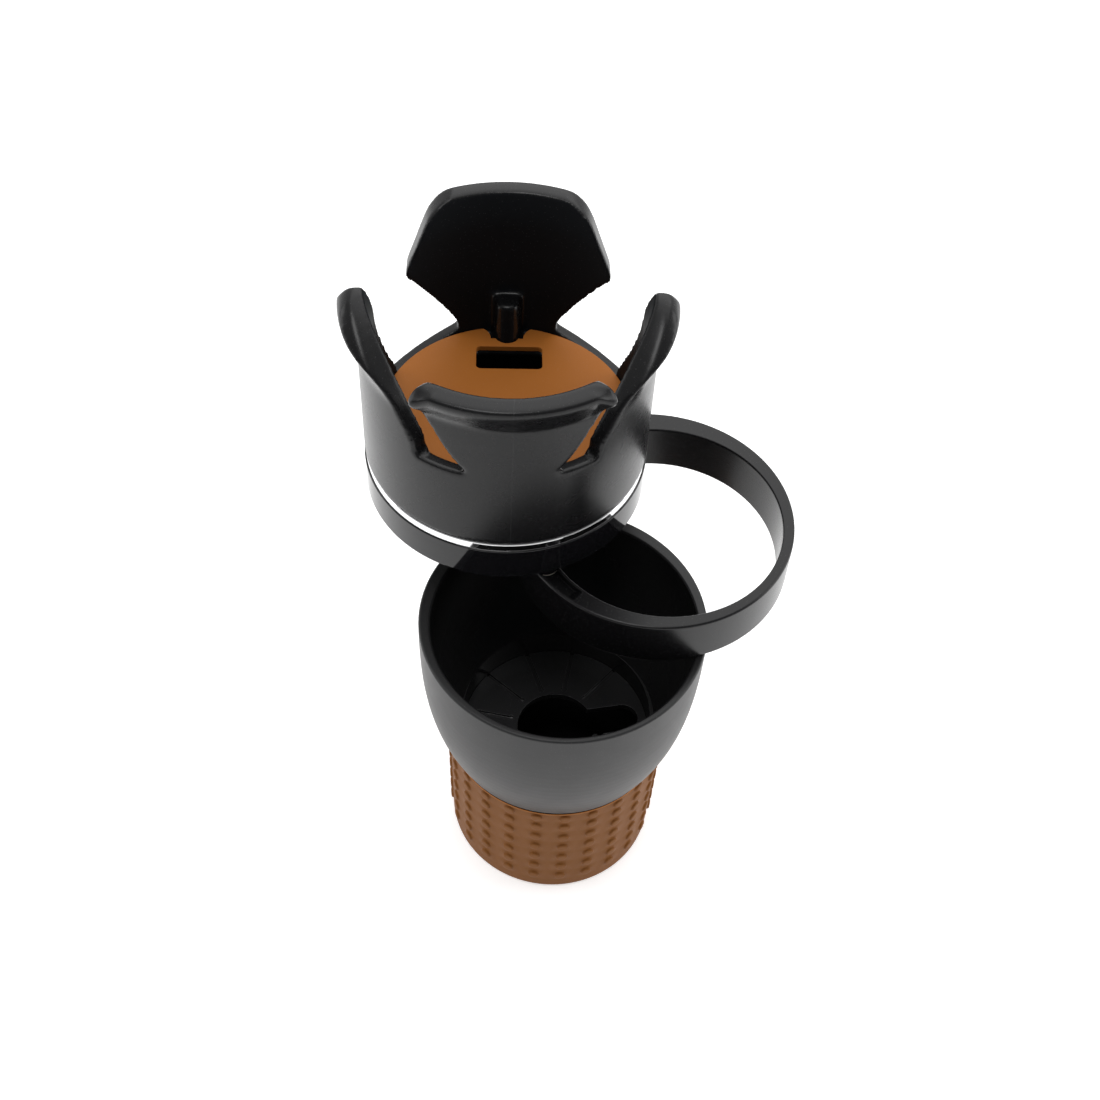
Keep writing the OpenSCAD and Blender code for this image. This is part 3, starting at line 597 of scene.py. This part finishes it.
lowerCupFinish = {
    "name": "lowerCupPlastic", "colour": (0.011, 0.011, 0.0115), "colourTwo": (0.009, 0.009, 0.0095),
    "rubColour": (0.03, 0.03, 0.031), "roughness": 0.42, "spread": 0.04, "grainSize": 0.35, "swellSize": 22,
    "grainStrength": 0.2, "grainDepth": 0.03, "edgeRadius": 0.5, "specular": 0.36,
    # the bowl's inside is glossier than its outside, and its colour is painted a little lighter as painted
    # light, since little light reaches in
    "inside": {"centre": (0, 0), "colour": (0.016, 0.016, 0.0165), "roughness": 0.16},
}
platePlastic = {
    "name": "platePlastic", "colour": (0.03, 0.03, 0.031), "colourTwo": (0.025, 0.025, 0.026),
    "rubColour": (0.16, 0.16, 0.16), "roughness": 0.15, "spread": 0.05, "grainSize": 0.5, "swellSize": 16,
    "grainStrength": 0.15, "grainDepth": 0.02, "edgeRadius": 0.25,
}
plateLook = {
    "name": "floorPlate", "weld": 0.002, "flatAngle": 0.5, "edgeAngle": 35, "edge": 0.3, "edgeSteps": 2,
    "sharpAngle": 50,
}

dress(nodes["base_cup"], makeFinish(lowerCupFinish))
plate = roundedCopy("floor_insert", "base", plateLook)
dress(plate, makeFinish(platePlastic))
print("lower cup and plate:", len(plate.data.polygons), "faces in the plate")


ringFinish = {
    "name": "ringPlastic", "colour": (0.005, 0.005, 0.0055), "colourTwo": (0.004, 0.004, 0.0045),
    "rubColour": (0.02, 0.02, 0.02), "roughness": 0.24, "spread": 0.03, "grainSize": 0.35, "swellSize": 20,
    "grainStrength": 0.2, "grainDepth": 0.03, "edgeRadius": 0.3, "specular": 0.3,
}
dress(nodes["swing_ring"], makeFinish(ringFinish))


bandFinish = {
    "name": "bandGloss", "colour": (0.006, 0.006, 0.007), "colourTwo": (0.005, 0.005, 0.006),
    "rubColour": (0.02, 0.02, 0.02), "roughness": 0.06, "spread": 0.03, "grainSize": 1.2, "swellSize": 25,
    "grainStrength": 0.03, "grainDepth": 0.01, "edgeRadius": 0.12, "dust": 0.03, "specular": 0.35,
}
trimFinish = {
    "name": "trimChrome", "colour": (0.86, 0.86, 0.87), "colourTwo": (0.82, 0.82, 0.83),
    "rubColour": (0.95, 0.95, 0.95), "metallic": 1, "roughness": 0.05, "spread": 0.03, "grainSize": 1.0,
    "swellSize": 20, "grainStrength": 0.03, "grainDepth": 0.01, "edgeRadius": 0.1, "dust": 0.02,
    "paintedTopShading": (0.05, 0.05, 0.05),  # painted shade: its upper ledge is painted dark for the shade of the cup
}
coverFinish = {
    "name": "coverPlastic", "colour": (0.014, 0.014, 0.015), "colourTwo": (0.011, 0.011, 0.012),
    "rubColour": (0.04, 0.04, 0.04), "roughness": 0.45, "spread": 0.06, "grainSize": 0.4, "swellSize": 18,
    "grainStrength": 0.3, "grainDepth": 0.04, "edgeRadius": 0.25,
    "paintedTopShading": (0.06, 0.06, 0.06),  # painted light: its upper side, seen through the pad's slot, is painted lighter for the light that comes in
}
dress(nodes["base_band"], makeFinish(bandFinish))
dress(nodes["trim_ring"], makeFinish(trimFinish))
dress(nodes["base_cover"], makeFinish(coverFinish))
print("ring, band, trim ring and cover dressed")


upperCupLook = {
    "name": "petalCup",
    "centre": (-22.591, 48.056),
    "foot": 153.0,
    "leafTurn": 93.5,
    "voxel": 0.6,
    "softShare": 0.5,
    "softSteps": 13,
    "keep": 0.5,
    "sharpAngle": 60,
    # faces this near to the axis that look towards it are inner ones
    "innerReach": 46.2,
    "innerFacing": -0.8,
    # the shifts below are in millimetres and in degrees of turn from the leaf or from the front
    # the back gaps' edge: the plane it lies in and the gentler slope it is eased to
    "backGap": {"from": 18, "to": 88, "rise": 6.0, "wall": 46.9, "bore": 41.6, "skin": 0.6, "tilt": 37.0,
                "turn": 53.0, "easedSlope": 0.27, "drop": 1.8, "near": (0.6, 4.0)},
    # the front petal: wider at its foot, narrower at its top and inside, with a lip that starts higher up
    "front": {"from": 31.0, "to": 42.0, "reach": 25.0, "widen": 0.75, "beside": 20,
              "foot": 28.8, "top": 63.3, "footShare": 1.3, "topShare": 0.935, "shift": 1.7,
              "wallRise": (16, 26), "wallTurn": (16, 36),
              "inShare": 0.22, "inner": 41.6, "outer": 50.8,
              "lip": 3.9, "lipFoot": 43.3, "lipTop": 62.1, "steepFoot": 51.0, "lipSkin": (43.5, 47.5)},
    # the floor of the gaps beside the front petal is lifted
    "gapFloor": {"lift": 2.6, "rising": (12, 26), "falling": (30, 44), "turn": (70, 90)},
    # the side petals' tips lean back and out a little
    "tip": {"from": 44.0, "to": 64.0, "turn": 3.2, "out": 1.2, "outSkin": (43.5, 48),
            "round": 3.0, "roundSkin": (47.5, 52.5), "low": 60.0, "high": 150.0},
}
upperCupFinish = {
    "name": "petalPlastic", "colour": (0.0055, 0.0055, 0.006), "colourTwo": (0.0045, 0.0045, 0.005),
    "rubColour": (0.02, 0.02, 0.02), "roughness": 0.27, "spread": 0.03, "grainSize": 0.35, "swellSize": 22,
    "grainStrength": 0.12, "grainDepth": 0.02, "edgeRadius": 0.3, "specular": 0.27,
    "line": {"x": -18.3, "centreY": 48.0, "width": 0.22, "colour": (0.014, 0.014, 0.0145)},
}
# the faces that look towards the cup's middle are duller than the outside
upperInnerFinish = dict(upperCupFinish, name="petalInnerPlastic", roughness=0.6, specular=0.06,
                        colour=(0.007, 0.0078, 0.009), colourTwo=(0.0062, 0.007, 0.0082))


def ramp(value, low, high):
    t = min(max((value - low) / (high - low), 0.0), 1.0)
    return t * t * (3 - 2 * t)


# shifts one point of the cup, given as turn from the leaf in degrees, radius and height above the foot
def shapePoint(turn, radius, rise, look):
    gap, front, gapFloor, tip = look["backGap"], look["front"], look["gapFloor"], look["tip"]
    side = math.copysign(1.0, turn)
    turn = abs(turn)
    if gap["from"] < turn < gap["to"] and radius > gap["bore"] - gap["skin"]:
        slope = math.tan(math.radians(gap["tilt"]))
        along = math.cos(math.radians(turn - gap["turn"]))
        plane = gap["rise"] + slope * (gap["wall"] - radius * along)
        inner = gap["rise"] + slope * (gap["wall"] - gap["bore"] * along)
        eased = inner - gap["drop"] - gap["easedSlope"] * (radius - gap["bore"])
        rise += (eased - plane) * (1 - ramp(abs(rise - plane), *gap["near"]))
    away, shift = 180 - turn, 0.0
    limit = front["reach"] + front["widen"] * max(rise - front["from"], 0)
    if away < limit + front["beside"]:
        along = min(max((rise - front["foot"]) / (front["top"] - front["foot"]), 0), 1)
        share = front["footShare"] + (front["topShare"] - front["footShare"]) * along
        held = ramp(rise, *front["wallRise"])
        if rise <= front["from"]:
            held *= 1 - ramp(away, *front["wallTurn"])
        elif away >= limit:
            held = 0.0
        turn = 180 - away * (1 + (share - 1) * held)
        shift = front["shift"] * held
    rise += (gapFloor["lift"] * ramp(rise, *gapFloor["rising"]) * (1 - ramp(rise, *gapFloor["falling"]))
             * (1 - ramp(away, *gapFloor["turn"])))
    if rise > front["from"] and away < limit:
        depth = ramp(front["outer"] - radius, 0, front["outer"] - front["inner"])
        turn = 180 - (180 - turn) * (1 - front["inShare"] * depth * ramp(rise, front["from"], front["to"]))
        gentle = ramp(rise, front["lipFoot"], front["lipTop"])
        steep = ramp(rise, front["steepFoot"], front["lipTop"])
        radius -= front["lip"] * (gentle - steep) * ramp(radius, *front["lipSkin"])
    if tip["low"] < turn < tip["high"]:
        share = ramp(rise, tip["from"], tip["to"])
        turn -= tip["turn"] * share
        radius += tip["out"] * share * ramp(radius, *tip["outSkin"])
        rise -= tip["round"] * share * ramp(radius, *tip["roundSkin"])
    return side * turn + shift, radius, rise


# a softened copy of the cup with its points shifted, in an outer and an inner finish
def makeUpperCup(look):
    mesh = nodes["upper_cup"].data.copy()
    mesh.materials.clear()
    cup = showObject(look["name"], mesh)
    even = cup.modifiers.new("evenCells", "REMESH")
    even.mode = "VOXEL"
    even.voxel_size = look["voxel"] * mm
    applyModifiers(cup)
    middle, facing = look["centre"], look["leafTurn"]
    for vertex in cup.data.vertices:
        x, y = vertex.co.x / mm - middle[0], vertex.co.y / mm - middle[1]
        rise = vertex.co.z / mm - look["foot"]
        if rise < 0:
            continue
        turn = (math.degrees(math.atan2(y, x)) - facing + 180) % 360 - 180
        turn, radius, rise = shapePoint(turn, math.hypot(x, y), rise, look)
        angle = math.radians(turn + facing)
        vertex.co = ((middle[0] + radius * math.cos(angle)) * mm, (middle[1] + radius * math.sin(angle)) * mm,
                     (rise + look["foot"]) * mm)
    soft = cup.modifiers.new("softEdges", "SMOOTH")
    soft.factor = look["softShare"]
    soft.iterations = look["softSteps"]
    fewer = cup.modifiers.new("fewerFaces", "DECIMATE")
    fewer.ratio = look["keep"]
    applyModifiers(cup)
    smoothFaces(cup.data, look["sharpAngle"])
    dress(cup, makeFinish(upperCupFinish))
    cup.data.materials.append(makeFinish(upperInnerFinish))
    centre = Vector((middle[0] * mm, middle[1] * mm))
    for face in cup.data.polygons:
        out = face.center.xy - centre
        inward = out.normalized().dot(face.normal.xy) < look["innerFacing"]
        if out.length < look["innerReach"] * mm and inward:
            face.material_index = 1
    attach(cup, "upper")
    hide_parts("upper_cup")
    print("upper cup:", len(cup.data.polygons), "faces")


makeUpperCup(upperCupLook)


padLook = {
    "name": "slottedPad", "weld": 0.002, "flatAngle": 0.5, "edgeAngle": 35, "edge": 0.35, "edgeSteps": 3,
    "sharpAngle": 50,
}
padFinish = {
    "name": "padRubber", "colour": (0.345, 0.114, 0.0165), "colourTwo": (0.315, 0.103, 0.014),
    "rubColour": (0.42, 0.15, 0.035), "roughness": 0.6, "spread": 0.05, "grainSize": 0.45, "swellSize": 15,
    "grainStrength": 0.4, "grainDepth": 0.05, "edgeRadius": 0.2, "specular": 0.2,
}
pad = roundedCopy("rubber_pad", "upper", padLook)
dress(pad, makeFinish(padFinish))
print("pad:", len(pad.data.polygons), "faces")


steelFinish = {
    "name": "turnedSteel", "colour": (0.56, 0.56, 0.57), "colourTwo": (0.48, 0.48, 0.49),
    "rubColour": (0.75, 0.75, 0.75), "metallic": 1, "roughness": 0.28, "spread": 0.08, "grainSize": 0.25,
    "swellSize": 6, "grainStrength": 0.2, "grainDepth": 0.02, "edgeRadius": 0.15,
}
washerFinish = {
    "name": "washerPlastic", "colour": (0.75, 0.72, 0.63), "colourTwo": (0.68, 0.65, 0.56),
    "rubColour": (0.8, 0.78, 0.7), "roughness": 0.45, "spread": 0.06, "grainSize": 0.3, "swellSize": 5,
    "grainStrength": 0.2, "grainDepth": 0.02, "edgeRadius": 0.1,
}
steel = makeFinish(steelFinish)
ivory = makeFinish(washerFinish)
for name in ("ring_pivot_pin", "ring_pivot_washer", "ring_pivot_screw",
             "upper_pivot_pin", "upper_pivot_washer", "upper_pivot_screw", "cover_screws"):
    dress(nodes[name], steel)
for name in ("ring_thrust_washer", "upper_thrust_washer"):
    dress(nodes[name], ivory)
print("pivots and screws dressed")
